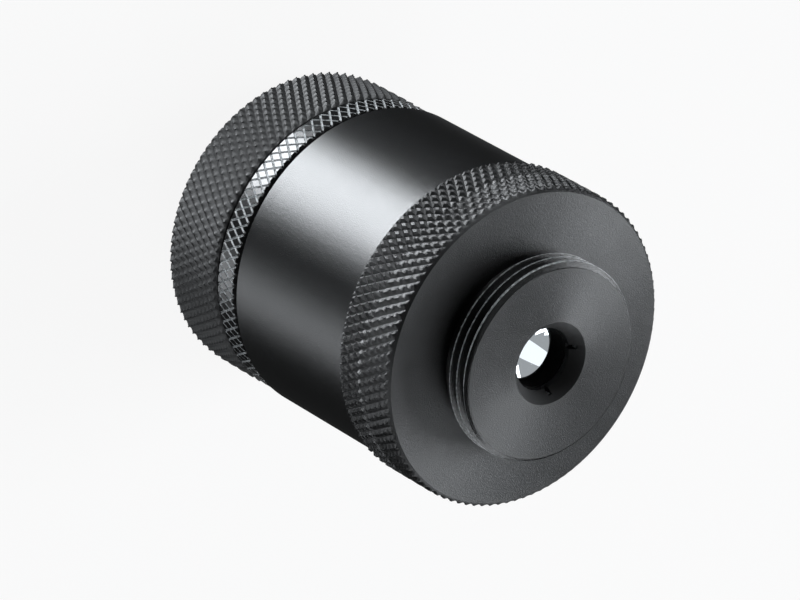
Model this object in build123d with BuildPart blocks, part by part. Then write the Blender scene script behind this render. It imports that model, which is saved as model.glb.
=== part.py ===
from build123d import *
from math import pi, sqrt
import os

os.makedirs("parts", exist_ok=True)

# Beam expander with a screw-focused objective, in millimetres.
# It stands on its output end: Z is the optical axis, the output face lies at z = 0,
# and the threaded input stub points up.

# Clearances
running_gap = 0.05      # radial, between turning or sliding pieces
fit_gap = 0.02          # radial, between pieces that are screwed or pressed together
face_gap = 0.05         # axial, between faces that bear on each other
unlock_gap = 0.2        # axial room in which the lock ring backs off

# Objective, an air-spaced doublet
objective_d = 25.4
objective_rim = 1.1     # width of the rim that the retainer and the shoulder cover
crown_front_radius = 38.0
crown_back_radius = 30.0
crown_centre = 7.0
flint_back_radius = 110.0
flint_centre = 1.8
air_space = 0.3
spacer_width = 0.8

# Walls from the objective outwards
cell_wall = 2.2         # lens cell, round the objective
nose_wall = 1.5         # threaded nose of the barrel, round the cell
barrel_wall = 3.4       # plain part of the barrel
focus_ring_inset = 0.1  # radial step from the barrel down to the focus ring
lock_ring_inset = 0.2   # radial step from the barrel down to the lock ring
cap_step = 0.65         # radial step from the barrel up to the input cap

# Lengths along the axis
focus_ring_width = 9.0
lock_washer_thickness = 0.3
lock_ring_width = 3.7
barrel_length = 20.6
cap_width = 9.1
stub_length = 4.8

# Edge breaks
rim_chamfer = 0.3
cap_chamfer = 0.55
stub_chamfer = 0.5

# Diamond knurls: teeth round each ring, and the depth from crest to groove
focus_knurl_teeth = 97
lock_knurl_teeth = 90
cap_knurl_teeth = 100
knurl_depth = 0.4
lock_knurl_depth = 0.3
knurl_slope = 1.65      # length of a diamond over its width, for grooves at 31 degrees

# Focusing thread and travel
focus_travel = 2.0
thread_relief_width = 0.8
thread_relief_depth = 0.4

# Focus ring and what holds the lens cell in it
output_lip = 1.6
output_mouth_gap = 0.3
output_mouth_chamfer = 0.8
thrust_washer_thickness = 0.3
cell_flange_thickness = 1.2
cell_flange_gap = 0.25
capture_ring_thickness = 1.0
capture_ring_gap = 0.2
spanner_slot_width = 1.6
spanner_slot_depth = 0.6

# Lens cell
cell_length = 16.0
cell_seal_section = 1.2
cell_seal_from_end = 2.1
retainer_step = 0.6
retainer_inset = 1.2
retainer_length = 1.3

# Guide pins and the keyed lock washer
guide_pin_d = 1.5
guide_pin_count = 2
guide_slot_depth = 1.05
lock_washer_inset = 0.7
key_width = 2.0
key_depth = 0.7

# Barrel and input cap
cap_thread_step = 1.0
cap_spigot_length = 4.7
cap_spigot_room = 0.3
cap_seal_section = 1.0
cap_seal_from_flange = 3.2
cap_spigot_wall = 3.98
cap_web = 6.0
glare_stop_width = 6.0
glare_stop_thickness = 1.2
glare_stop_from_cap = 6.0
stub_thread_d = 23.8
stub_relief_width = 0.9
stub_relief_depth = 1.0

# Input lens and its retainer
input_lens_d = 9.0
input_rim = 1.0         # width of the flat ground rim of the lens
input_lens_edge = 2.6
input_lens_depth = 4.55
input_front_radius = 12.0
input_back_radius = 14.0
input_seal_section = 0.5
input_shoulder_width = 0.6
input_retainer_step = 0.42
input_retainer_length = 2.2
input_bore_step = 0.1
input_mouth_rim = 0.17
input_mouth_depth = 1.3
input_slot_width = 0.7
input_slot_count = 4


def sag(radius, half_width):
    """Depth of a spherical lens face at a distance from the axis."""
    return radius - sqrt(radius**2 - half_width**2)


# Radii, from the objective outwards
lens_r = objective_d / 2
lens_bore_r = lens_r + running_gap
clear_r = lens_r - objective_rim
retainer_r = lens_r + retainer_step
mouth_r = retainer_r + output_mouth_gap
cell_r = lens_bore_r + cell_wall
slot_floor_r = cell_r - guide_slot_depth
nose_bore_r = cell_r + running_gap
nose_r = nose_bore_r + nose_wall
key_floor_r = nose_r - key_depth
focus_bore_r = nose_r + running_gap
flange_r = focus_bore_r - cell_flange_gap
barrel_r = nose_bore_r + barrel_wall
focus_ring_r = barrel_r - focus_ring_inset
lock_ring_r = barrel_r - lock_ring_inset
lock_washer_r = lock_ring_r - lock_washer_inset
cap_r = barrel_r + cap_step
cap_thread_r = nose_bore_r + cap_thread_step
spigot_r = cap_thread_r - fit_gap
spigot_bore_r = spigot_r - cap_spigot_wall

# Radii of the input end
input_lens_r = input_lens_d / 2
input_clear_r = input_lens_r - input_rim
input_pocket_r = input_lens_r + running_gap
input_shoulder_r = input_lens_r - input_shoulder_width
input_retainer_r = input_lens_r + input_retainer_step
input_bore_r = input_clear_r + input_bore_step
stub_r = stub_thread_d / 2

# Heights of the pieces, from the output face up
washer_z = focus_ring_width + face_gap
lock_z = washer_z + lock_washer_thickness + face_gap
barrel_z = lock_z + lock_ring_width + unlock_gap
cap_z = barrel_z + barrel_length
end_face_z = cap_z + cap_width
stub_z = end_face_z + stub_length

front_washer_z = output_lip + face_gap
cell_z = front_washer_z + thrust_washer_thickness + face_gap
flange_top_z = cell_z + cell_flange_thickness
rear_washer_z = flange_top_z + face_gap
capture_z = rear_washer_z + thrust_washer_thickness + face_gap
capture_top_z = capture_z + capture_ring_thickness
nose_z = capture_top_z + 2 * face_gap
cell_end_z = cell_z + cell_length

# Objective heights, from its retainer inwards
retainer_z = cell_z + retainer_inset
retainer_top_z = retainer_z + retainer_length
crown_front_z = retainer_top_z + face_gap - sag(crown_front_radius, clear_r)
crown_rim_z = crown_front_z + sag(crown_front_radius, lens_r)
crown_back_z = crown_front_z + crown_centre
crown_top_rim_z = crown_back_z - sag(crown_back_radius, lens_r)
flint_front_z = crown_back_z + air_space
flint_rim_z = crown_top_rim_z + air_space
flint_back_z = flint_front_z + flint_centre
flint_top_rim_z = flint_back_z - sag(flint_back_radius, lens_r)
shoulder_z = flint_back_z - sag(flint_back_radius, clear_r) + face_gap

# Guide pins pass through the nose under the lock ring
guide_pin_z = lock_z + lock_ring_width / 2
slot_low_z = guide_pin_z - guide_pin_d / 2 - 2 * face_gap
slot_high_z = guide_pin_z + guide_pin_d / 2 + focus_travel + 2 * face_gap

# Seal grooves of the cell and of the cap's spigot
cell_groove_z = cell_end_z - cell_seal_from_end
cell_groove_r = nose_bore_r - cell_seal_section
cell_groove_half = cell_seal_section / 2 + face_gap
cap_groove_z = cap_z - cap_seal_from_flange
cap_groove_r = spigot_r - cap_seal_section
cap_groove_half = cap_seal_section / 2 + face_gap

# Barrel thread for the cap, and the glare stop in front of it
spigot_end_z = cap_z - cap_spigot_length
cap_thread_z = spigot_end_z - cap_spigot_room
glare_stop_z = cap_thread_z - glare_stop_from_cap

# Input lens heights, from the stub face inwards
input_front_z = stub_z - input_lens_depth
input_back_z = input_front_z - input_lens_edge
input_shoulder_z = input_back_z - input_seal_section - face_gap
input_seal_z = (input_shoulder_z + input_back_z) / 2
input_retainer_z = stub_z - input_retainer_length


def knurled_disc(crest_r, depth, low_z, high_z, edge, teeth):
    """Solid disc whose rim is a diamond knurl: rows of four-sided pyramids between two grooved ends.

    Crests and groove crossings take turns along each row and from row to row. Each square of
    the lattice between them is two flat facets that meet in the bottom of a groove.
    """
    columns = 2 * teeth
    diamond = 2 * pi * crest_r / teeth * knurl_slope
    rows = max(2, round((high_z - low_z - 2 * edge) / (diamond / 2)))
    row_height = (high_z - low_z - 2 * edge) / rows
    groove_r = crest_r - depth
    end_r = min(groove_r, crest_r - edge)

    def point(radius, column, height):
        return Vector(radius, 0, height).rotate(Axis.Z, 360 / columns * column)

    lattice = [[point(end_r, column, low_z) for column in range(columns)]]
    for row in range(rows + 1):
        height = low_z + edge + row_height * row
        radii = [groove_r if (row + column) % 2 else crest_r for column in range(columns)]
        lattice.append([point(radius, column, height) for column, radius in enumerate(radii)])
    lattice.append([point(end_r, column, high_z) for column in range(columns)])

    facets = [Face(Wire.make_polygon(lattice[0])), Face(Wire.make_polygon(lattice[-1]))]
    for row, (lower, upper) in enumerate(zip(lattice, lattice[1:])):
        for column in range(columns):
            following = (column + 1) % columns
            corners = [lower[column], lower[following], upper[following], upper[column]]
            turn = (row + column) % 2
            corners = corners[turn:] + corners[:turn]
            facets.append(Face(Wire.make_polygon([corners[0], corners[1], corners[3]])))
            facets.append(Face(Wire.make_polygon([corners[1], corners[2], corners[3]])))
    return Solid(Shell(facets))


# Focus ring: knurled outside, female thread inside, with a lip at the output face
with BuildPart() as focus_ring:
    add(knurled_disc(focus_ring_r, knurl_depth, 0, focus_ring_width, rim_chamfer, focus_knurl_teeth))
    with BuildSketch(Plane.XZ):
        with BuildLine():
            Polyline(
                (0, 0),
                (mouth_r + output_mouth_chamfer, 0),
                (mouth_r, output_mouth_chamfer),
                (mouth_r, output_lip),
                (focus_bore_r, output_lip),
                (focus_bore_r, focus_ring_width),
                (0, focus_ring_width),
                close=True,
            )
        make_face()
    revolve(axis=Axis.Z, mode=Mode.SUBTRACT)
focus_ring.part.label = "focus_ring"
export_step(focus_ring.part, "parts/focus_ring.step")

# Thrust washers on both sides of the lens cell's flange
with BuildPart() as front_thrust_washer:
    with BuildSketch(Plane.XY.offset(front_washer_z)):
        Circle(flange_r)
        Circle(mouth_r, mode=Mode.SUBTRACT)
    extrude(amount=thrust_washer_thickness)
front_thrust_washer.part.label = "front_thrust_washer"
export_step(front_thrust_washer.part, "parts/front_thrust_washer.step")

with BuildPart() as rear_thrust_washer:
    with BuildSketch(Plane.XY.offset(rear_washer_z)):
        Circle(flange_r)
        Circle(nose_bore_r, mode=Mode.SUBTRACT)
    extrude(amount=thrust_washer_thickness)
rear_thrust_washer.part.label = "rear_thrust_washer"
export_step(rear_thrust_washer.part, "parts/rear_thrust_washer.step")

# Capture ring: screwed into the focus ring behind the flange, with two spanner slots
with BuildPart() as capture_ring:
    with BuildSketch(Plane.XY.offset(capture_z)):
        Circle(focus_bore_r - fit_gap)
        Circle(nose_bore_r + capture_ring_gap, mode=Mode.SUBTRACT)
    extrude(amount=capture_ring_thickness)
    with BuildSketch(Plane.XY.offset(capture_top_z)):
        Rectangle(3 * focus_bore_r, spanner_slot_width)
    extrude(amount=-spanner_slot_depth, mode=Mode.SUBTRACT)
capture_ring.part.label = "capture_ring"
export_step(capture_ring.part, "parts/capture_ring.step")

# Lens cell: a flanged tube that slides in the nose of the barrel without turning
with BuildPart() as lens_cell:
    with BuildSketch(Plane.XZ):
        with BuildLine():
            Polyline(
                (retainer_r + fit_gap, cell_z),
                (flange_r, cell_z),
                (flange_r, flange_top_z),
                (cell_r, flange_top_z),
                (cell_r, cell_groove_z - cell_groove_half),
                (cell_groove_r, cell_groove_z - cell_groove_half),
                (cell_groove_r, cell_groove_z + cell_groove_half),
                (cell_r, cell_groove_z + cell_groove_half),
                (cell_r, cell_end_z),
                (clear_r, cell_end_z),
                (clear_r, shoulder_z),
                (lens_bore_r, shoulder_z),
                (lens_bore_r, retainer_top_z),
                (retainer_r + fit_gap, retainer_top_z),
                close=True,
            )
        make_face()
    revolve(axis=Axis.Z)
    with BuildSketch(Plane.XY.offset(slot_low_z)):
        with PolarLocations(slot_floor_r + cell_r, guide_pin_count):
            Rectangle(2 * cell_r, guide_pin_d + 2 * running_gap)
    extrude(amount=slot_high_z - slot_low_z, mode=Mode.SUBTRACT)
lens_cell.part.label = "lens_cell"
export_step(lens_cell.part, "parts/lens_cell.step")

# Cell seal: the ring that centres the cell's inner end and keeps dust out
with BuildPart() as cell_seal:
    with BuildSketch(Plane.XZ):
        with Locations((cell_groove_r + cell_seal_section / 2, cell_groove_z)):
            Circle(cell_seal_section / 2 - fit_gap)
    revolve(axis=Axis.Z)
cell_seal.part.label = "cell_seal"
export_step(cell_seal.part, "parts/cell_seal.step")

# Objective retainer: a threaded ring with two spanner slots, seen from the output end
with BuildPart() as objective_retainer:
    with BuildSketch(Plane.XY.offset(retainer_z)):
        Circle(retainer_r)
        Circle(clear_r, mode=Mode.SUBTRACT)
    extrude(amount=retainer_length)
    with BuildSketch(Plane.XY.offset(retainer_z)):
        Rectangle(3 * retainer_r, spanner_slot_width)
    extrude(amount=spanner_slot_depth, mode=Mode.SUBTRACT)
objective_retainer.part.label = "objective_retainer"
export_step(objective_retainer.part, "parts/objective_retainer.step")

# Crown element: biconvex, its front face towards the output
with BuildPart() as crown_lens:
    with BuildSketch(Plane.XZ):
        with BuildLine():
            RadiusArc((0, crown_front_z), (lens_r, crown_rim_z), -crown_front_radius)
            Line((lens_r, crown_rim_z), (lens_r, crown_top_rim_z))
            RadiusArc((lens_r, crown_top_rim_z), (0, crown_back_z), -crown_back_radius)
            Line((0, crown_back_z), (0, crown_front_z))
        make_face()
    revolve(axis=Axis.Z)
crown_lens.part.label = "crown_lens"
export_step(crown_lens.part, "parts/crown_lens.step")

# Spacer: the thin conical ring that sets the air space at the rim of the two elements
spacer_inner_r = lens_r - spacer_width
spacer_drop = sag(crown_back_radius, lens_r) - sag(crown_back_radius, spacer_inner_r)
with BuildPart() as lens_spacer:
    with BuildSketch(Plane.XZ):
        with BuildLine():
            Polyline(
                (spacer_inner_r, crown_top_rim_z + spacer_drop + face_gap),
                (lens_r, crown_top_rim_z + face_gap),
                (lens_r, flint_rim_z - face_gap),
                (spacer_inner_r, flint_rim_z + spacer_drop - face_gap),
                close=True,
            )
        make_face()
    revolve(axis=Axis.Z)
lens_spacer.part.label = "lens_spacer"
export_step(lens_spacer.part, "parts/lens_spacer.step")

# Flint element: a negative meniscus behind the crown
with BuildPart() as flint_lens:
    with BuildSketch(Plane.XZ):
        with BuildLine():
            RadiusArc((0, flint_front_z), (lens_r, flint_rim_z), crown_back_radius)
            Line((lens_r, flint_rim_z), (lens_r, flint_top_rim_z))
            RadiusArc((lens_r, flint_top_rim_z), (0, flint_back_z), -flint_back_radius)
            Line((0, flint_back_z), (0, flint_front_z))
        make_face()
    revolve(axis=Axis.Z)
flint_lens.part.label = "flint_lens"
export_step(flint_lens.part, "parts/flint_lens.step")

# Lock washer: keyed to the nose, so that the lock ring doesn't turn the focus ring with it
with BuildPart() as lock_washer:
    with BuildSketch(Plane.XY.offset(washer_z)):
        Circle(lock_washer_r)
        Circle(focus_bore_r, mode=Mode.SUBTRACT)
        with Locations((0, (key_floor_r + running_gap + focus_bore_r) / 2)):
            Rectangle(key_width - 2 * running_gap, key_depth)
    extrude(amount=lock_washer_thickness)
lock_washer.part.label = "lock_washer"
export_step(lock_washer.part, "parts/lock_washer.step")

# Lock ring: the narrow knurled nut that jams the focus ring
lock_top_z = lock_z + lock_ring_width
with BuildPart() as lock_ring:
    add(knurled_disc(lock_ring_r, lock_knurl_depth, lock_z, lock_top_z, rim_chamfer, lock_knurl_teeth))
    with BuildSketch(Plane.XY.offset(lock_z)):
        Circle(focus_bore_r)
    extrude(amount=lock_ring_width, mode=Mode.SUBTRACT)
lock_ring.part.label = "lock_ring"
export_step(lock_ring.part, "parts/lock_ring.step")

# Barrel: plain outside, with a threaded nose that carries both rings
with BuildPart() as barrel:
    with BuildSketch(Plane.XZ):
        with BuildLine():
            Polyline(
                (nose_bore_r, nose_z),
                (nose_r, nose_z),
                (nose_r, barrel_z - thread_relief_width),
                (nose_r - thread_relief_depth, barrel_z - thread_relief_width),
                (nose_r - thread_relief_depth, barrel_z),
                (barrel_r - rim_chamfer, barrel_z),
                (barrel_r, barrel_z + rim_chamfer),
                (barrel_r, cap_z),
                (cap_thread_r, cap_z),
                (cap_thread_r, cap_thread_z),
                (nose_bore_r, cap_thread_z),
                close=True,
            )
        make_face()
    revolve(axis=Axis.Z)
    with BuildSketch(Plane.XY.offset(nose_z)):
        with Locations((0, key_floor_r + key_depth)):
            Rectangle(key_width, 2 * key_depth)
    extrude(amount=barrel_z - nose_z, mode=Mode.SUBTRACT)
    with BuildSketch(Plane.YZ.offset(-2 * nose_r)):
        with Locations((0, guide_pin_z)):
            Circle(guide_pin_d / 2 + fit_gap)
    extrude(amount=4 * nose_r, mode=Mode.SUBTRACT)
barrel.part.label = "barrel"
export_step(barrel.part, "parts/barrel.step")

# Guide pins: pressed into the nose, they run in the slots of the lens cell
pin_inner_r = slot_floor_r + running_gap
pin_outer_r = nose_r - 2 * running_gap
with BuildPart() as guide_pins:
    for side in range(guide_pin_count):
        outwards = Vector(1, 0, 0).rotate(Axis.Z, 360 / guide_pin_count * side)
        with BuildSketch(Plane(outwards * pin_inner_r + Vector(0, 0, guide_pin_z), z_dir=outwards)):
            Circle(guide_pin_d / 2)
        extrude(amount=pin_outer_r - pin_inner_r)
guide_pins.part.label = "guide_pins"
export_step(guide_pins.part, "parts/guide_pins.step")

# Glare stop: a knife-edged ring in the barrel that cuts off stray light
with BuildPart() as glare_stop:
    with BuildSketch(Plane.XY.offset(glare_stop_z)):
        Circle(nose_bore_r - fit_gap)
    extrude(amount=glare_stop_thickness)
    with BuildSketch(glare_stop.faces().sort_by(Axis.Z)[-1]):
        Circle(nose_bore_r - glare_stop_width)
    extrude(amount=-glare_stop_thickness, taper=-30, mode=Mode.SUBTRACT)
glare_stop.part.label = "glare_stop"
export_step(glare_stop.part, "parts/glare_stop.step")

# Input cap: the knurled flange, the threaded stub and the spigot, turned in one piece
with BuildPart() as input_cap:
    add(knurled_disc(cap_r, knurl_depth, cap_z, end_face_z, cap_chamfer, cap_knurl_teeth))
    with BuildSketch(Plane.XY.offset(end_face_z)):
        Circle(stub_r - stub_relief_depth)
    extrude(amount=stub_relief_width)
    with BuildSketch(Plane.XY.offset(end_face_z + stub_relief_width)):
        Circle(stub_r)
    extrude(amount=stub_length - stub_relief_width)
    chamfer(input_cap.faces().sort_by(Axis.Z)[-1].edges(), length=stub_chamfer)
    with BuildSketch(Plane.XZ):
        with BuildLine():
            Polyline(
                (0, spigot_end_z),
                (spigot_r, spigot_end_z),
                (spigot_r, cap_groove_z - cap_groove_half),
                (cap_groove_r, cap_groove_z - cap_groove_half),
                (cap_groove_r, cap_groove_z + cap_groove_half),
                (spigot_r, cap_groove_z + cap_groove_half),
                (spigot_r, cap_z),
                (0, cap_z),
                close=True,
            )
        make_face()
    revolve(axis=Axis.Z)
    with BuildSketch(Plane.XZ):
        with BuildLine():
            Polyline(
                (0, spigot_end_z),
                (spigot_bore_r, spigot_end_z),
                (spigot_bore_r, end_face_z - cap_web),
                (input_shoulder_r, input_shoulder_z),
                (input_pocket_r, input_shoulder_z),
                (input_pocket_r, input_retainer_z),
                (input_retainer_r + fit_gap, input_retainer_z),
                (input_retainer_r + fit_gap, stub_z),
                (0, stub_z),
                close=True,
            )
        make_face()
    revolve(axis=Axis.Z, mode=Mode.SUBTRACT)
input_cap.part.label = "input_cap"
export_step(input_cap.part, "parts/input_cap.step")

# Cap seal: the ring in the groove of the spigot
with BuildPart() as cap_seal:
    with BuildSketch(Plane.XZ):
        with Locations((cap_groove_r + cap_seal_section / 2, cap_groove_z)):
            Circle(cap_seal_section / 2 - fit_gap)
    revolve(axis=Axis.Z)
cap_seal.part.label = "cap_seal"
export_step(cap_seal.part, "parts/cap_seal.step")

# Input lens: biconcave, with flat ground rims
front_centre_z = input_front_z + sqrt(input_front_radius**2 - input_clear_r**2)
back_centre_z = input_back_z - sqrt(input_back_radius**2 - input_clear_r**2)
with BuildPart() as input_lens:
    with BuildSketch(Plane.XY.offset(input_back_z)):
        Circle(input_lens_r)
    extrude(amount=input_lens_edge)
    with Locations((0, 0, front_centre_z)):
        Sphere(input_front_radius, mode=Mode.SUBTRACT)
    with Locations((0, 0, back_centre_z)):
        Sphere(input_back_radius, mode=Mode.SUBTRACT)
input_lens.part.label = "input_lens"
export_step(input_lens.part, "parts/input_lens.step")

# Input lens seal: the soft ring under the lens
with BuildPart() as input_lens_seal:
    with BuildSketch(Plane.XZ):
        with Locations((input_lens_r - input_seal_section / 2, input_seal_z)):
            Circle(input_seal_section / 2)
    revolve(axis=Axis.Z)
input_lens_seal.part.label = "input_lens_seal"
export_step(input_lens_seal.part, "parts/input_lens_seal.step")

# Input spacer: the blackened tube between the retainer and the lens
with BuildPart() as input_spacer:
    with BuildSketch(Plane.XY.offset(input_front_z + face_gap)):
        Circle(input_lens_r)
        Circle(input_bore_r, mode=Mode.SUBTRACT)
    extrude(amount=input_retainer_z - input_front_z - 2 * face_gap)
input_spacer.part.label = "input_spacer"
export_step(input_spacer.part, "parts/input_spacer.step")

# Input retainer: flush with the stub face, with a conical mouth and spanner slots
with BuildPart() as input_retainer:
    with BuildSketch(Plane.XZ):
        with BuildLine():
            Polyline(
                (input_bore_r, input_retainer_z),
                (input_retainer_r, input_retainer_z),
                (input_retainer_r, stub_z),
                (input_retainer_r - input_mouth_rim, stub_z),
                (input_bore_r, stub_z - input_mouth_depth),
                close=True,
            )
        make_face()
    revolve(axis=Axis.Z)
    with BuildSketch(Plane.XY.offset(stub_z - input_mouth_depth - input_slot_width)):
        with PolarLocations(input_bore_r, input_slot_count, start_angle=45):
            Rectangle(input_retainer_r - input_bore_r, input_slot_width)
    extrude(amount=input_mouth_depth, mode=Mode.SUBTRACT)
input_retainer.part.label = "input_retainer"
export_step(input_retainer.part, "parts/input_retainer.step")
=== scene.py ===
import math

import bmesh
import bpy
from mathutils import Matrix, Vector


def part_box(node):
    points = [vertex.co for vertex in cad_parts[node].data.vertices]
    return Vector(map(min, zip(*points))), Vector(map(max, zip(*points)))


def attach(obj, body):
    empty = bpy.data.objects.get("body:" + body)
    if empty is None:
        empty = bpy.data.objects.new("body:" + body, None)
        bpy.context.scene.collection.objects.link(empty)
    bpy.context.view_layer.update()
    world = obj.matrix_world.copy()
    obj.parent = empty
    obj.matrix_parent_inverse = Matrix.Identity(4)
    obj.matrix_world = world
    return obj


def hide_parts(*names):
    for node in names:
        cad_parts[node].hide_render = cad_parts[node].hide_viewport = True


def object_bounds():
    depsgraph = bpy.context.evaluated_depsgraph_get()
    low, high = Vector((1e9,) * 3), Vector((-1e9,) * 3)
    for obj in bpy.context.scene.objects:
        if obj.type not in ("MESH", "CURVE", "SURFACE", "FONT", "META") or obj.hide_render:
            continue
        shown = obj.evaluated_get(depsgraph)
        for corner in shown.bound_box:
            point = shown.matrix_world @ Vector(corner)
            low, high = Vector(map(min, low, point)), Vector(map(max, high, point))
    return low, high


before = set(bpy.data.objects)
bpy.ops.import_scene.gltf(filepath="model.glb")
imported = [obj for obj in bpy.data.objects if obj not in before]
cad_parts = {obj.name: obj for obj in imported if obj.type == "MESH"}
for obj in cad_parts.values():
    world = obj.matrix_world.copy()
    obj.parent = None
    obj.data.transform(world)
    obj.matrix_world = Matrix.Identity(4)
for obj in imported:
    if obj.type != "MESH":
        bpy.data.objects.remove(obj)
cad_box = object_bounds()

# Barrel: the plain tube between the two knurled ends, with a long threaded nose for both rings.
# Turned and threaded from aluminium bar, bored through, then satin black anodised. The keyway and
# the pin holes of the nose, which the rings cover, are in the CAD solid alone.
mm = 0.001
turned_sides = 256
fit_gap = 0.02 * mm
running_gap = 0.05 * mm
weld = 0.0001 * mm  # vertices nearer than this are one
rim_gap = 0.001 * mm  # left between two rims, which join_rims then closes


def turn(piece, outline):
    """Extrudes the selected rim to each point (radius, height) of an outline in turn."""
    for radius, height in outline:
        bpy.ops.mesh.extrude_edges_move()
        mesh = bmesh.from_edit_mesh(piece.data)
        for vertex in mesh.verts:
            if vertex.select:
                place = Vector((vertex.co.x, vertex.co.y)).normalized() * radius
                vertex.co = (place.x, place.y, height)
        bmesh.update_edit_mesh(piece.data)


def weld_mesh():
    """Welds the doubled vertices of the mesh in edit mode and turns its faces outwards."""
    bpy.ops.mesh.select_all(action="SELECT")
    bpy.ops.mesh.remove_doubles(threshold=weld)
    bpy.ops.mesh.normals_make_consistent(inside=False)


def finish_piece(piece, edge_break, material, body, slot, *nodes):
    """Closes a mesh, breaks its sharp edges, and seats it on its body in place of its nodes."""
    sharp_from, smooth_up_to = math.radians(40), math.radians(38)
    weld_mesh()
    bpy.ops.object.mode_set(mode="OBJECT")
    if edge_break:
        bevel = piece.modifiers.new("edge break", "BEVEL")
        bevel.width = edge_break
        bevel.segments = 3
        bevel.limit_method = "ANGLE"
        bevel.angle_limit = sharp_from
        bpy.ops.object.modifier_apply(modifier=bevel.name)
    bpy.ops.object.shade_smooth_by_angle(angle=smooth_up_to)
    even = piece.modifiers.new("even shading", "WEIGHTED_NORMAL")
    even.keep_sharp = True
    bpy.ops.object.modifier_apply(modifier=even.name)
    piece.data.materials.append(material)
    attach(piece, body)
    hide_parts(*nodes)


def cut_thread(name, crest, root, pitch, low, high, first_crest):
    """Open band of a right-hand 60 degree thread, with its lowest whole crest at first_crest."""
    flat = pitch / 8
    flank = (crest - root) * math.tan(math.radians(30))
    rise = [0, flat, flat + flank, pitch - flank, pitch]
    radii = [crest, crest, root, root, crest]
    start = first_crest - flat / 2 - pitch * math.ceil((first_crest - low) / pitch + 1)
    profile = bpy.data.meshes.new(name)
    points = [(radius, 0, start + height) for radius, height in zip(radii, rise)]
    profile.from_pydata(points, [(k, k + 1) for k in range(len(points) - 1)], [])
    band = bpy.data.objects.new(name, profile)
    bpy.context.collection.objects.link(band)
    bpy.ops.object.select_all(action="DESELECT")
    bpy.context.view_layer.objects.active = band
    band.select_set(True)
    helix = band.modifiers.new("helix", "SCREW")
    helix.screw_offset = pitch
    helix.iterations = math.ceil((high - start) / pitch) + 1
    helix.steps = helix.render_steps = turned_sides
    helix.use_merge_vertices = True
    helix.merge_threshold = 10 * weld
    bpy.ops.object.modifier_apply(modifier=helix.name)
    bpy.ops.object.mode_set(mode="EDIT")
    bpy.ops.mesh.select_mode(type="EDGE")
    trim_band(low, high)
    return band


def trim_band(low, high):
    """Cuts the open band in edit mode off square at its two ends."""
    for height, outwards in ((low, -1), (high, 1)):
        bpy.ops.mesh.select_all(action="SELECT")
        bpy.ops.mesh.bisect(
            plane_co=(0, 0, height), plane_no=(0, 0, outwards), clear_outer=True, threshold=weld
        )


def chamfer_band(band, end, inwards, end_radius, length, slope=1):
    """Takes everything outside a cone off one end of the band in edit mode."""
    cuts = 6
    for cut in range(1, cuts + 1):
        bpy.ops.mesh.select_all(action="SELECT")
        height = end + inwards * length * cut / cuts
        bpy.ops.mesh.bisect(plane_co=(0, 0, height), plane_no=(0, 0, 1), threshold=weld)
    mesh = bmesh.from_edit_mesh(band.data)
    for vertex in mesh.verts:
        depth = (vertex.co.z - end) * inwards
        reach = end_radius + depth * slope
        radius = vertex.co.xy.length
        if depth < length + 10 * weld and radius > reach:
            vertex.co.x *= reach / radius
            vertex.co.y *= reach / radius
    bmesh.update_edit_mesh(band.data)


def lies_on_rim(edge, height):
    """Says whether an edge is open and lies at a height."""
    return edge.is_boundary and all(abs(end.co.z - height) < rim_gap / 2 for end in edge.verts)


def select_rim(piece, height):
    """Selects the open edges that lie at a height."""
    bpy.ops.mesh.select_all(action="DESELECT")
    mesh = bmesh.from_edit_mesh(piece.data)
    for edge in mesh.edges:
        if lies_on_rim(edge, height):
            edge.select_set(True)
    bmesh.update_edit_mesh(piece.data)


def join_rims(piece, first, second):
    """Fills between the open rims at two heights with triangles, going round by angle.

    The rims may differ in their number of vertices, as a knurl and a plain bore do."""
    mesh = bmesh.from_edit_mesh(piece.data)
    rims, angles = [], []
    for height in (first, second):
        rim = {vertex for edge in mesh.edges if lies_on_rim(edge, height) for vertex in edge.verts}
        rim = sorted(rim, key=lambda vertex: math.atan2(vertex.co.y, vertex.co.x))
        turns = [math.atan2(vertex.co.y, vertex.co.x) for vertex in rim]
        rims.append(rim + rim[:1])
        angles.append(turns + [turns[0] + 2 * math.pi, math.inf])
    at = [0, 0]
    while at[0] < len(rims[0]) - 1 or at[1] < len(rims[1]) - 1:
        ahead = [angles[side][at[side] + 1] for side in (0, 1)]
        side = 0 if ahead[0] <= ahead[1] else 1
        mesh.faces.new((rims[0][at[0]], rims[1][at[1]], rims[side][at[side] + 1]))
        at[side] += 1
    bmesh.update_edit_mesh(piece.data)


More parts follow.
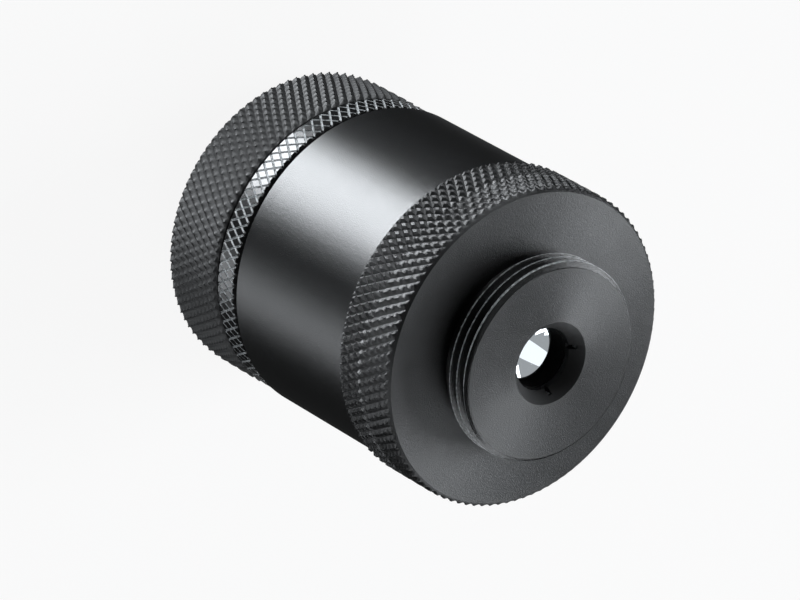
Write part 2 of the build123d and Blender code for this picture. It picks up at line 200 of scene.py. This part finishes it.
def anodised(name, colour, roughness, grain_depth, streak, mottle=0.1, index=1.76):
    """Satin anodised aluminium: fine grain, cloudy dye, and a gloss drawn out across tool marks.

    mottle is how much of the gloss's unevenness is in soft patches rather than in the grain."""
    material = bpy.data.materials.new(name)
    material.use_nodes = True
    nodes, links = material.node_tree.nodes, material.node_tree.links
    shader = nodes["Principled BSDF"]
    shader.inputs["Anisotropic"].default_value = streak
    shader.inputs["IOR"].default_value = index
    place = nodes.new("ShaderNodeTexCoord")
    cloud = nodes.new("ShaderNodeTexNoise")
    cloud.inputs["Scale"].default_value = 420
    cloud.inputs["Detail"].default_value = 5
    links.new(place.outputs["Object"], cloud.inputs["Vector"])
    dye = nodes.new("ShaderNodeMix")
    dye.data_type = "RGBA"
    dye.inputs["A"].default_value = (*[part * 0.7 for part in colour], 1)
    dye.inputs["B"].default_value = (*[part * 1.3 for part in colour], 1)
    links.new(cloud.outputs["Fac"], dye.inputs["Factor"])
    links.new(dye.outputs["Result"], shader.inputs["Base Color"])
    grain = nodes.new("ShaderNodeTexNoise")
    grain.inputs["Scale"].default_value = 8500
    grain.inputs["Detail"].default_value = 3
    links.new(place.outputs["Object"], grain.inputs["Vector"])
    uneven = nodes.new("ShaderNodeMix")
    uneven.inputs["Factor"].default_value = mottle
    links.new(grain.outputs["Fac"], uneven.inputs["A"])
    links.new(cloud.outputs["Fac"], uneven.inputs["B"])
    gloss = nodes.new("ShaderNodeMapRange")
    gloss.inputs["From Min"].default_value = 0.25
    gloss.inputs["From Max"].default_value = 0.75
    gloss.inputs["To Min"].default_value = roughness * 0.8
    gloss.inputs["To Max"].default_value = roughness * 1.2
    links.new(uneven.outputs["Result"], gloss.inputs["Value"])
    links.new(gloss.outputs["Result"], shader.inputs["Roughness"])
    relief = nodes.new("ShaderNodeBump")
    relief.inputs["Strength"].default_value = 1
    relief.inputs["Distance"].default_value = grain_depth
    links.new(grain.outputs["Fac"], relief.inputs["Height"])
    links.new(relief.outputs["Normal"], shader.inputs["Normal"])
    across = nodes.new("ShaderNodeVectorMath")
    across.operation = "MULTIPLY_ADD"
    across.inputs[1].default_value = (1, 1, 0)
    across.inputs[2].default_value = (0, 0, 0.01)
    links.new(place.outputs["Object"], across.inputs[0])
    links.new(across.outputs["Vector"], shader.inputs["Tangent"])
    return material


black = (0.0025, 0.0027, 0.003)
satin_black = anodised("satin_black", black, 0.34, 0.023 * mm, 0.45)

barrel_low, barrel_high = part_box("barrel")
lock_low, lock_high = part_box("lock_ring")
nose_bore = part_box("glare_stop")[1].x + fit_gap
nose_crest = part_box("capture_ring")[1].x + fit_gap - running_gap
nose_root = nose_crest - 0.55 * mm
nose_pitch = 1.0 * mm
nose_chamfer = 0.6 * mm
cap_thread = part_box("cap_seal")[1].x + 2 * fit_gap
cap_thread_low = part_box("input_cap")[0].z - 0.3 * mm
shoulder = lock_high.z + 0.2 * mm
relief_low = shoulder - 0.8 * mm
shoulder_chamfer = 0.3 * mm

barrel_tube = cut_thread(
    "barrel_tube", nose_crest, nose_root, nose_pitch, barrel_low.z, relief_low,
    barrel_low.z + nose_pitch / 2
)
chamfer_band(barrel_tube, barrel_low.z, 1, nose_root, nose_chamfer)
chamfer_band(barrel_tube, relief_low, -1, nose_root, nose_chamfer)
select_rim(barrel_tube, relief_low)
turn(barrel_tube, [
    (nose_root, shoulder),
    (barrel_high.x - shoulder_chamfer, shoulder),
    (barrel_high.x, shoulder + shoulder_chamfer),
    (barrel_high.x, barrel_high.z),
    (cap_thread, barrel_high.z),
    (cap_thread, cap_thread_low),
    (nose_bore, cap_thread_low),
    (nose_bore, barrel_low.z + rim_gap),
])
join_rims(barrel_tube, barrel_low.z + rim_gap, barrel_low.z)
finish_piece(barrel_tube, 0.06 * mm, satin_black, "housing", "black_anodised", "barrel")

# Guide pins: two short ground steel pins, pressed into the nose of the barrel.
# They run in slots of the lens cell, which so slides without turning.


def steel(name, colour, metallic, roughness):
    """Steel of one even finish."""
    material = bpy.data.materials.new(name)
    material.use_nodes = True
    shader = material.node_tree.nodes["Principled BSDF"]
    shader.inputs["Base Color"].default_value = (*colour, 1)
    shader.inputs["Metallic"].default_value = metallic
    shader.inputs["Roughness"].default_value = roughness
    return material


def refinish(material, *nodes):
    """Gives CAD nodes whose shape is right their finish."""
    for node in nodes:
        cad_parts[node].material_slots[0].material = material


ground_steel = steel("ground_steel", (0.56, 0.56, 0.57), 1, 0.25)
refinish(ground_steel, "guide_pins")

# Glare stop and spacers: a knife-edged ring in the barrel, a tube behind the input retainer and a
# thin ring between the objective's lenses, all turned and matt black against stray light.
matt_black = anodised("matt_black", (0.006, 0.006, 0.006), 0.75, 0.004 * mm, 0, 0.1, 1.3)
refinish(matt_black, "glare_stop", "input_spacer", "lens_spacer")

# Input cap: the wide knurled flange with its threaded stub and the spigot that screws into the
# barrel, turned in one piece of aluminium. The flange was knurled in two passes side by side, and
# the end face shows fine tool marks.


def knurl_tooth(name, half_width, half_height, grooves, ridges, crest, top):
    """One diamond of a knurl, facing +X at height 0, raised from its grooves to a flat top.

    grooves holds the groove's radius at the lower corner, at the sides and at the upper corner,
    ridges its radius half way along the borders, lower pair first, and top the flat share of the
    diamond's width. Corners and half-way points are told apart by eighths of a turn from +Y."""
    bpy.ops.object.select_all(action="DESELECT")
    bpy.ops.mesh.primitive_circle_add(
        vertices=8, radius=half_height, fill_type="NGON", rotation=(0, math.pi / 2, 0)
    )
    bpy.ops.object.transform_apply(location=True, rotation=True, scale=True)
    tooth = bpy.context.object
    tooth.name = name
    bpy.ops.object.mode_set(mode="EDIT")
    bpy.ops.mesh.select_mode(type="FACE")
    bpy.ops.mesh.select_all(action="SELECT")
    mesh = bmesh.from_edit_mesh(tooth.data)
    below, beside, above = grooves
    corners = [
        (beside, half_width, 0), (above, 0, half_height),
        (beside, -half_width, 0), (below, 0, -half_height),
    ]
    outline = {}
    for vertex in mesh.verts:
        eighth = round(math.atan2(vertex.co.z, vertex.co.y) / (math.pi / 4)) % 8
        first, second = Vector(corners[eighth // 2]), Vector(corners[(eighth + 1) // 2 % 4])
        vertex.co = (first + second) / 2
        outline[eighth] = vertex.co.copy()
        if eighth % 2:
            vertex.co.x = ridges[(7, 5, 3, 1).index(eighth)]
    bmesh.update_edit_mesh(tooth.data)
    rounding = top + 0.06, 0.75
    for share, rise in (rounding, (top, 1)):
        bpy.ops.mesh.inset(thickness=half_width * 0.01)  # new vertices, which then get their place
        mesh = bmesh.from_edit_mesh(tooth.data)
        for vertex in mesh.verts:
            if vertex.select:
                slant = math.atan2(vertex.co.z / half_height, vertex.co.y / half_width)
                vertex.co = outline[round(slant / (math.pi / 4)) % 8] * share
                vertex.co.x = beside + (crest - beside) * rise
        bmesh.update_edit_mesh(tooth.data)
    bpy.ops.object.mode_set(mode="OBJECT")
    return tooth


def knurl_band(name, crest, rows, teeth, low, high, edge, chamfers):
    """Open band of diamond knurl, with its first and last row centred an edge inside its ends.

    Each row is (crest's drop, groove's depth, flat share, and how far the crest runs on over the
    borders of either slant). chamfers holds the chamfer's width at the low and the high end."""
    tooth_weld, sliver, sliver_weld = 0.06 * mm, 0.03 * mm, 0.02 * mm
    steps = len(rows) - 1
    row_height = (high - low - 2 * edge) / steps
    half_angle = math.pi / teeth
    strip = []

    def row_at(row):
        return rows[min(max(row, 0), steps)]

    def ridges_between(first, second):
        drop, depth, _, *ridges = [sum(pair) / 2 for pair in zip(row_at(first), row_at(second))]
        return [crest - depth + (depth - drop) * ridge for ridge in ridges]

    for row in range(-1, steps + 2):
        grooves = [crest - row_at(level)[1] for level in (row - 1, row, row + 1)]
        half_width = grooves[1] * math.tan(half_angle)
        ridges = ridges_between(row - 1, row) + ridges_between(row, row + 1)
        drop, top = row_at(row)[0], row_at(row)[2]
        tooth = knurl_tooth(name, half_width, row_height, grooves, ridges, crest - drop, top)
        tooth.location.z = low + edge + row_height * row
        tooth.rotation_euler.z = half_angle * (row % 2)
        strip.append(tooth)
    for tooth in strip:
        tooth.select_set(True)
    band = bpy.context.object
    bpy.ops.object.transform_apply(location=True, rotation=True, scale=True)
    bpy.ops.object.join()
    band.name = band.data.name = name
    bpy.ops.object.empty_add(rotation=(0, 0, 2 * half_angle))
    step = bpy.context.object
    bpy.ops.object.select_all(action="DESELECT")
    bpy.context.view_layer.objects.active = band
    band.select_set(True)
    copies = band.modifiers.new("round the ring", "ARRAY")
    copies.use_relative_offset = False
    copies.use_object_offset = True
    copies.offset_object = step
    copies.count = teeth
    bpy.ops.object.modifier_apply(modifier=copies.name)
    bpy.data.objects.remove(step)
    bpy.ops.object.mode_set(mode="EDIT")
    bpy.ops.mesh.select_mode(type="VERT")
    bpy.ops.mesh.select_all(action="DESELECT")
    bpy.ops.mesh.select_non_manifold()
    bpy.ops.mesh.remove_doubles(threshold=tooth_weld)
    bpy.ops.mesh.select_mode(type="EDGE")
    trim_band(low, high)
    chamfer_band(band, low, 1, crest - chamfers[0], chamfers[0])
    chamfer_band(band, high, -1, crest - chamfers[1], chamfers[1])
    mesh = bmesh.from_edit_mesh(band.data)
    for end in (low, high):
        slivers = [vertex for vertex in mesh.verts if abs(vertex.co.z - end) < sliver]
        bmesh.ops.remove_doubles(mesh, verts=slivers, dist=sliver_weld)
    for vertex in mesh.verts:
        if vertex.is_boundary:
            vertex.co.z = low if vertex.co.z < (low + high) / 2 else high
    bmesh.update_edit_mesh(band.data)
    return band


def within(material, bands, weight=None):
    """Socket that holds the weight, or 1, inside the bands; each is (inner, outer, low, high)."""
    nodes, links = material.node_tree.nodes, material.node_tree.links
    place = nodes.new("ShaderNodeTexCoord")
    across = nodes.new("ShaderNodeVectorMath")
    across.operation = "MULTIPLY"
    across.inputs[1].default_value = (1, 1, 0)
    links.new(place.outputs["Object"], across.inputs[0])
    reach = nodes.new("ShaderNodeVectorMath")
    reach.operation = "LENGTH"
    links.new(across.outputs["Vector"], reach.inputs[0])
    parts = nodes.new("ShaderNodeSeparateXYZ")
    links.new(place.outputs["Object"], parts.inputs["Vector"])

    def combine(operation, first, second):
        node = nodes.new("ShaderNodeMath")
        node.operation = operation
        for socket, value in zip(node.inputs, (first, second)):
            if isinstance(value, bpy.types.NodeSocket):
                links.new(value, socket)
            else:
                socket.default_value = value
        return node.outputs["Value"]

    found = None
    for inner, outer, low, high in bands:
        inside = weight
        for test in (
            combine("GREATER_THAN", reach.outputs["Value"], inner),
            combine("LESS_THAN", reach.outputs["Value"], outer),
            combine("GREATER_THAN", parts.outputs["Z"], low),
            combine("LESS_THAN", parts.outputs["Z"], high),
        ):
            inside = combine("MULTIPLY", inside, test) if inside else test
        found = combine("MAXIMUM", found, inside) if found else inside
    return found


def wear_and_highlight(material, *bands):
    """Pale bare-metal colour inside bands of (inner, outer, low, high): rubbed-off dye and painted
    highlights.
    """
    nodes, links = material.node_tree.nodes, material.node_tree.links
    shader = nodes["Principled BSDF"]
    place = nodes.new("ShaderNodeTexCoord")
    patchy = nodes.new("ShaderNodeTexNoise")
    patchy.inputs["Scale"].default_value = 2500
    links.new(place.outputs["Object"], patchy.inputs["Vector"])
    strength = nodes.new("ShaderNodeMapRange")
    strength.inputs["From Min"].default_value = 0.35
    strength.inputs["From Max"].default_value = 0.6
    strength.inputs["To Min"].default_value = 0.35
    links.new(patchy.outputs["Fac"], strength.inputs["Value"])
    # The pale colour stands for bare metal, and where edges and flanks would catch light it is a
    # painted highlight.
    bare_or_lit = nodes.new("ShaderNodeMix")
    bare_or_lit.data_type = "RGBA"
    bare_or_lit.inputs["B"].default_value = (0.62, 0.64, 0.65, 1)
    links.new(within(material, bands, strength.outputs["Result"]), bare_or_lit.inputs["Factor"])
    links.new(shader.inputs["Base Color"].links[0].from_socket, bare_or_lit.inputs["A"])
    links.new(bare_or_lit.outputs["Result"], shader.inputs["Base Color"])


def smooth_cut(material, share, *bands):
    """Lowers the roughness to a share of itself inside bands that the tool left smooth."""
    nodes, links = material.node_tree.nodes, material.node_tree.links
    rough = nodes["Principled BSDF"].inputs["Roughness"]
    lower = nodes.new("ShaderNodeMapRange")
    lower.inputs["To Min"].default_value = 1
    lower.inputs["To Max"].default_value = share
    links.new(within(material, bands), lower.inputs["Value"])
    scaled = nodes.new("ShaderNodeMath")
    scaled.operation = "MULTIPLY"
    links.new(rough.links[0].from_socket, scaled.inputs[0])
    links.new(lower.outputs["Result"], scaled.inputs[1])
    links.new(scaled.outputs["Value"], rough)


cap_low, cap_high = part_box("input_cap")
flange_low = barrel_high.z
stub_radius = 11.9 * mm
stub_face = cap_high.z
end_face = stub_face - 4.8 * mm
stub_root = stub_radius - 0.65 * mm
stub_pitch = 1.27 * mm
stub_relief = 0.9 * mm
stub_relief_radius = stub_radius - 1.0 * mm
stub_run_out = 0.7 * mm
stub_first_crest = end_face + 2.1 * mm
stub_chamfer = 0.5 * mm
stub_chamfer_length = 0.48 * mm
stub_edge_radius = stub_radius - stub_chamfer - 0.09 * mm
stub_edge_length = 0.05 * mm
stub_edge_slope = 2.2
spigot = cap_thread - fit_gap
seal_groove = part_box("cap_seal")[0].z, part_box("cap_seal")[1].z
seal_floor = spigot - 1.0 * mm
retainer_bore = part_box("input_retainer")[1].x + fit_gap
lens_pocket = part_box("input_lens")[1].x + running_gap
lens_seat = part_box("input_lens_seal")[0].z
lens_shoulder = lens_pocket - 0.65 * mm
web_floor = end_face - 6.0 * mm
spigot_bore = 12.0 * mm
cap_chamfer = 0.55 * mm
cap_teeth = 100

inner_row = (0, 0.38 * mm, 0.4, 0, 0)
outer_row = (0, 0.38 * mm, 0.22, 0.62, 0)
last_row = (0.02 * mm, 0.32 * mm, 0.25, 0.5, 0)
input_cap = knurl_band(
    "knurled_input_cap", cap_high.x, [inner_row] * 4 + [outer_row] * 4 + [last_row],
    cap_teeth, flange_low, end_face, cap_chamfer, (0.3 * mm, cap_chamfer)
)
bpy.ops.object.mode_set(mode="OBJECT")
stub = cut_thread(
    "stub", stub_radius, stub_root, stub_pitch, end_face + stub_relief, stub_face,
    stub_first_crest
)
chamfer_band(stub, end_face + stub_relief, 1, stub_root, stub_run_out)
chamfer_band(
    stub, stub_face, -1, stub_radius - stub_chamfer, stub_chamfer_length,
    stub_chamfer / stub_chamfer_length
)
chamfer_band(stub, stub_face, -1, stub_edge_radius, stub_edge_length, stub_edge_slope)
bpy.ops.object.mode_set(mode="OBJECT")
input_cap.select_set(True)
bpy.context.view_layer.objects.active = input_cap
bpy.ops.object.join()
bpy.ops.object.mode_set(mode="EDIT")
bpy.ops.mesh.select_mode(type="EDGE")
select_rim(input_cap, end_face)
relief_top = end_face + stub_relief - 10 * rim_gap
turn(input_cap, [(stub_relief_radius, end_face), (stub_relief_radius, relief_top)])
join_rims(input_cap, relief_top, end_face + stub_relief)
select_rim(input_cap, stub_face)
turn(input_cap, [
    (retainer_bore, stub_face),
    (retainer_bore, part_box("input_retainer")[0].z),
    (lens_pocket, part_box("input_retainer")[0].z),
    (lens_pocket, lens_seat),
    (lens_shoulder, lens_seat),
    (spigot_bore, web_floor),
    (spigot_bore, cap_low.z),
    (spigot, cap_low.z),
    (spigot, seal_groove[0] - fit_gap),
    (seal_floor, seal_groove[0] - fit_gap),
    (seal_floor, seal_groove[1] + fit_gap),
    (spigot, seal_groove[1] + fit_gap),
    (spigot, flange_low - rim_gap),
])
join_rims(input_cap, flange_low - rim_gap, flange_low)
faced_black = anodised("faced_black", black, 0.4, 0.042 * mm, 0.9, 0.65)
smooth_cut(
    faced_black, 0.45,
    (stub_root - 0.01 * mm, stub_radius + 0.1 * mm, end_face + 0.1 * mm, stub_face - 0.02 * mm)
)
chamfer_end = stub_face - stub_chamfer_length
# Pale lines on the thread's crests and on the chamfer's outer edge: partly rubbed-off dye, partly a
# painted highlight where these sharp edges catch the light.
wear_and_highlight(
    faced_black,
    (stub_radius - 0.03 * mm, stub_radius + 0.03 * mm, end_face + stub_relief, stub_face),
    (stub_radius - 0.1 * mm, stub_radius + 0.03 * mm, chamfer_end - 0.1 * mm, chamfer_end + 0.1 * mm),
)
finish_piece(input_cap, 0, faced_black, "housing", "black_anodised", "input_cap")

# Seals: soft rubber rings in the grooves of the cap and of the cell, and under the input lens.
# Each is moulded and held by being squeezed a little.
seal_rubber = anodised("seal_rubber", (0.015, 0.015, 0.015), 0.6, 0.002 * mm, 0)
refinish(seal_rubber, "cap_seal", "cell_seal", "input_lens_seal")

# Input lens: a small concave lens of coated glass, polished, with a flat ground rim.
# It drops into the stub from outside, onto its seal.


def start_ring(name, radius, height):
    """Ring of edges round the axis, left selected in edit mode, from which a piece is turned."""
    bpy.ops.object.select_all(action="DESELECT")
    bpy.ops.mesh.primitive_circle_add(vertices=turned_sides, radius=radius, location=(0, 0, height))
    bpy.ops.object.transform_apply(location=True, rotation=False, scale=False)
    bpy.context.object.name = name
    bpy.ops.object.mode_set(mode="EDIT")
    bpy.ops.mesh.select_mode(type="EDGE")
    bpy.ops.mesh.select_all(action="SELECT")
    return bpy.context.object


def lens_curve(radius, crown, clear, height, steps=24):
    """Points of a spherical face from its rim to the axis; crown is +1 where it bulges upwards."""
    points = []
    for step in range(steps, -1, -1):
        reach = clear * step / steps
        points.append((reach, height - crown * (radius - math.sqrt(radius**2 - reach**2))))
    return points


def coated_glass(name, coat_tint, mirror):
    """Polished optical glass under a thin coating, which mirrors part of the light."""
    material = bpy.data.materials.new(name)
    material.use_nodes = True
    shader = material.node_tree.nodes["Principled BSDF"]
    shader.inputs["Base Color"].default_value = (0.96, 0.98, 0.97, 1)
    shader.inputs["Metallic"].default_value = mirror
    shader.inputs["Roughness"].default_value = 0
    shader.inputs["IOR"].default_value = 1.52
    shader.inputs["Transmission Weight"].default_value = 1
    shader.inputs["Coat Weight"].default_value = 1
    shader.inputs["Coat Roughness"].default_value = 0
    shader.inputs["Coat IOR"].default_value = 1.8
    shader.inputs["Coat Tint"].default_value = (*coat_tint, 1)
    return material


input_glass = coated_glass("input_glass", (0.95, 0.97, 1.0), 0.95)
front_curve, back_curve = 9.5 * mm, 14.0 * mm
lens_low, lens_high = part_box("input_lens")
clear = lens_high.x - 1.0 * mm
front_sag = front_curve - math.sqrt(front_curve**2 - clear**2)
back_sag = back_curve - math.sqrt(back_curve**2 - clear**2)
input_lens = start_ring("concave_input_lens", lens_high.x, lens_low.z)
turn(input_lens, [(lens_high.x, lens_high.z)])
turn(input_lens, lens_curve(front_curve, -1, clear, lens_high.z - front_sag))
select_rim(input_lens, lens_low.z)
turn(input_lens, lens_curve(back_curve, 1, clear, lens_low.z + back_sag))
finish_piece(input_lens, 0, input_glass, "housing", "optical_glass", "input_lens")

# Input retainer: a threaded ring, flush with the stub's face, with a conical mouth and four
# spanner slots across its inner edge. Turned and black anodised.
retainer_low, retainer_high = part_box("input_retainer")
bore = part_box("input_lens")[1].x - 0.8 * mm
mouth = retainer_high.x - 0.04 * mm
mouth_depth = 1.45 * mm
input_retainer = start_ring("slotted_input_retainer", bore, retainer_low.z)
turn(input_retainer, [
    (retainer_high.x, retainer_low.z),
    (retainer_high.x, stub_face),
    (mouth, stub_face),
    (bore, stub_face - mouth_depth),
    (bore, retainer_low.z),
])


def mill_slots(piece, width, length, depth, middle, top, count, first):
    """Cuts slots of one width across a ring at equal steps round the axis."""
    cutters = []
    bpy.ops.object.mode_set(mode="OBJECT")
    for slot in range(count):
        angle = first + 2 * math.pi * slot / count
        bpy.ops.mesh.primitive_cube_add(
            size=1, location=(middle * math.cos(angle), middle * math.sin(angle), top - depth / 2),
            rotation=(0, 0, angle), scale=(length, width, depth)
        )
        cutters.append(bpy.context.object)
    for cutter in cutters:
        bpy.ops.object.select_all(action="DESELECT")
        bpy.context.view_layer.objects.active = piece
        cut = piece.modifiers.new("slot", "BOOLEAN")
        cut.object = cutter
        cut.operation = "DIFFERENCE"
        cut.solver = "EXACT"
        bpy.ops.object.modifier_apply(modifier=cut.name)
        bpy.data.objects.remove(cutter)
    piece.select_set(True)
    bpy.ops.object.mode_set(mode="EDIT")


weld_mesh()
slot_width, slot_length, slot_depth = 0.5 * mm, 1.3 * mm, 1.3 * mm
slot_top, slot_count = stub_face - 0.7 * mm, 4
mill_slots(
    input_retainer, slot_width, slot_length, slot_depth, bore, slot_top, slot_count,
    math.radians(45)
)
bore_black = anodised("bore_black", black, 0.55, 0.006 * mm, 0)
slot_end = bore + slot_length / 2
# Pale colour at the outer ends of the spanner slots: bare metal of the milled walls, and partly a
# painted glint on their edges.
wear_and_highlight(
    bore_black,
    (slot_end - 0.05 * mm, slot_end + 0.05 * mm, stub_face - 1.7 * mm, stub_face - 0.98 * mm),
)
finish_piece(input_retainer, 0.02 * mm, bore_black, "housing", "black_anodised", "input_retainer")

# Lock washer: a thin blued steel washer between the two rings. It is keyed to the nose, so that
# tightening the lock ring doesn't turn the focus ring.
blued_steel = steel("blued_steel", (0.03, 0.03, 0.036), 0.6, 0.4)
refinish(blued_steel, "lock_washer")

# Lock ring: the narrow nut that jams the focus ring. Turned from aluminium, its rim knurled
# lightly so that each diamond keeps a flat polished top, then black anodised.
lock_black = anodised("lock_black", black, 0.24, 0.0008 * mm, 0)
lock_chamfers = 0.3 * mm, 0.62 * mm
# Pale colour on the flanks and in the grooves of the knurl, between the flat tops: a painted
# highlight where the flanks would catch the light.
wear_and_highlight(
    lock_black,
    (lock_high.x - 0.3 * mm, lock_high.x - 0.05 * mm,
     lock_low.z + lock_chamfers[0], lock_high.z - lock_chamfers[1]),
)
lock_row = (0, 0.2 * mm, 0.72, 0, 0)
lock_teeth = 90
lock_ring = knurl_band(
    "knurled_lock_ring", lock_high.x, [lock_row] * 4, lock_teeth, lock_low.z, lock_high.z,
    0.3 * mm, lock_chamfers
)
focus_bore = nose_crest + running_gap
select_rim(lock_ring, lock_high.z)
turn(lock_ring, [(focus_bore, lock_high.z), (focus_bore, lock_low.z + rim_gap)])
join_rims(lock_ring, lock_low.z + rim_gap, lock_low.z)
finish_piece(lock_ring, 0, lock_black, "lock_ring", "black_anodised", "lock_ring")

# Focus ring: the wide knurled ring at the output end, which screws along the nose and carries
# the lens cell with it. Turned from aluminium, knurled all over and black anodised.
focus_low, focus_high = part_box("focus_ring")
lip = 1.6 * mm
output_mouth = 13.6 * mm
output_chamfer = 0.8 * mm
focus_row = (0, 0.48 * mm, 0.14, 0, 0.52)
focus_teeth = 97
focus_ring = knurl_band(
    "knurled_focus_ring", focus_high.x, [focus_row] * 10, focus_teeth, focus_low.z, focus_high.z,
    0.3 * mm, (0.3 * mm, 0.5 * mm)
)
select_rim(focus_ring, focus_high.z)
turn(focus_ring, [
    (focus_bore, focus_high.z),
    (focus_bore, focus_low.z + lip),
    (output_mouth, focus_low.z + lip),
    (output_mouth, focus_low.z + output_chamfer),
    (output_mouth + output_chamfer, focus_low.z + rim_gap),
])
join_rims(focus_ring, focus_low.z + rim_gap, focus_low.z)
rolled_black = anodised("rolled_black", black, 0.58, 0.011 * mm, 0)
finish_piece(focus_ring, 0, rolled_black, "focus_ring", "black_anodised", "focus_ring")

# Lens cell, capture ring and objective retainer: black anodised turned parts that hold the
# objective in the focus ring. Thrust washers of white plastic let the ring turn on the cell.
refinish(satin_black, "lens_cell", "capture_ring", "objective_retainer")
slide_plastic = anodised("slide_plastic", (0.75, 0.74, 0.7), 0.5, 0.001 * mm, 0)
refinish(slide_plastic, "front_thrust_washer", "rear_thrust_washer")

# Objective: a crown and a flint lens with a thin air space, polished and coated. They lie in the
# lens cell, where a threaded retainer holds them in.
objective_glass = coated_glass("objective_glass", (0.9, 0.95, 1.0), 0.1)
refinish(objective_glass, "crown_lens", "flint_lens")

# Floor and light: a pale floor under the part, soft boxes round it, and the camera. The world is
# white only where the camera sees it straight or through glass, and the floor is clear from below.


def seen_straight(nodes, links):
    """Socket that is 1 for rays which come to the camera straight or through glass."""
    rays = nodes.new("ShaderNodeLightPath")
    seen = nodes.new("ShaderNodeMath")
    seen.operation = "MAXIMUM"
    links.new(rays.outputs["Is Camera Ray"], seen.inputs[0])
    links.new(rays.outputs["Is Transmission Ray"], seen.inputs[1])
    return seen.outputs["Value"]


floor_size = 3.0
bpy.ops.object.select_all(action="DESELECT")
bpy.ops.mesh.primitive_plane_add(size=floor_size, location=(0, 0, 0))
floor = bpy.context.object
floor.name = "floor"
floor.visible_glossy = False
floor.visible_shadow = False
floor_paint = bpy.data.materials.new("floor_paint")
floor_paint.use_nodes = True
nodes, links = floor_paint.node_tree.nodes, floor_paint.node_tree.links
shader = nodes["Principled BSDF"]
shader.inputs["Base Color"].default_value = (0.8, 0.8, 0.8, 1)
shader.inputs["Roughness"].default_value = 1
shader.inputs["Specular IOR Level"].default_value = 0
glow = nodes.new("ShaderNodeEmission")
glow.inputs["Color"].default_value = (1, 1, 1, 1)
links.new(seen_straight(nodes, links), glow.inputs["Strength"])
mix = nodes.new("ShaderNodeMixShader")
mix.inputs["Fac"].default_value = 0.9
links.new(shader.outputs["BSDF"], mix.inputs[1])
links.new(glow.outputs["Emission"], mix.inputs[2])
side = nodes.new("ShaderNodeNewGeometry")
clear_below = nodes.new("ShaderNodeMixShader")
links.new(side.outputs["Backfacing"], clear_below.inputs["Fac"])
links.new(mix.outputs["Shader"], clear_below.inputs[1])
links.new(nodes.new("ShaderNodeBsdfTransparent").outputs["BSDF"], clear_below.inputs[2])
links.new(clear_below.outputs["Shader"], nodes["Material Output"].inputs["Surface"])
floor.data.materials.append(floor_paint)

middle = Vector((0, 0, (cad_box[0].z + cad_box[1].z) / 2))


def soft_box(name, direction, width, height, radiance):
    """Area lamp a metre from the part in one direction, set by the brightness that it shows."""
    bpy.ops.object.light_add(type="AREA")
    lamp = bpy.context.object
    lamp.name = name
    lamp.data.shape = "RECTANGLE"
    lamp.data.size = width
    lamp.data.size_y = height
    lamp.data.energy = radiance * math.pi * width * height
    lamp.data.color = (0.95, 0.99, 1.03)
    lamp.location = middle + Vector(direction).normalized()
    lamp.rotation_euler = Vector(direction).to_track_quat("Z", "Y").to_euler()
    lamp.visible_camera = False


soft_box("main_box", (-0.34, -0.59, -0.73), 0.6, 0.6, 13)
soft_box("side_box", (0.62, -0.31, -0.73), 0.34, 0.6, 2.0)
soft_box("rim_box", (-0.15, 0.67, -0.72), 0.3, 0.3, 0.15)
soft_box("left_box", (-0.85, -0.5, -0.1), 0.9, 0.5, 3)
soft_box("right_box", (0.85, -0.5, -0.1), 0.6, 0.5, 2)
soft_box("back_left_box", (-0.42, 0.76, 0.5), 0.6, 0.5, 6)
soft_box("back_right_box", (0.6, 0.35, 0.72), 0.35, 0.35, 3)
soft_box("low_right_box", (0.72, 0.66, 0.15), 0.4, 0.4, 3)
soft_box("ceiling_box", (0.0, 0.33, 0.95), 1.3, 1.0, 0.35)
soft_box("overhead_box", (0.0, 0.38, 0.92), 0.36, 0.8, 0.75)
soft_box("overhead_left_box", (-0.5, 0.6, 0.62), 0.32, 0.4, 2.6)
soft_box("overhead_right_box", (0.5, 0.6, 0.62), 0.32, 0.4, 2.3)

world = bpy.data.worlds.new("studio")
bpy.context.scene.world = world
world.use_nodes = True
nodes, links = world.node_tree.nodes, world.node_tree.links
level = nodes.new("ShaderNodeMapRange")
level.inputs["To Min"].default_value = 0.02
level.inputs["To Max"].default_value = 1.0
links.new(seen_straight(nodes, links), level.inputs["Value"])
links.new(level.outputs["Result"], nodes["Background"].inputs["Strength"])
nodes["Background"].inputs["Color"].default_value = (1, 1, 1, 1)

camera_place = Vector((2.137, -523.283, 574.034)) * mm
camera_forward = Vector((0, 0.68770, -0.72599))
camera_up = Vector((-0.86896, -0.35928, -0.34033))
photo_width = 800
focal_pixels = 6691.7
bpy.ops.object.camera_add(location=camera_place)
camera = bpy.context.object
right = camera_forward.cross(camera_up).normalized()
up = right.cross(camera_forward).normalized()
turn_matrix = Matrix((right, up, -camera_forward)).transposed().to_4x4()
camera.matrix_world = Matrix.Translation(camera_place) @ turn_matrix
camera.data.sensor_width = 36
camera.data.lens = focal_pixels / photo_width * camera.data.sensor_width
camera.data.clip_start = 0.01
camera.data.clip_end = 10
bpy.context.scene.camera = camera
bpy.context.scene.view_settings.view_transform = "Standard"
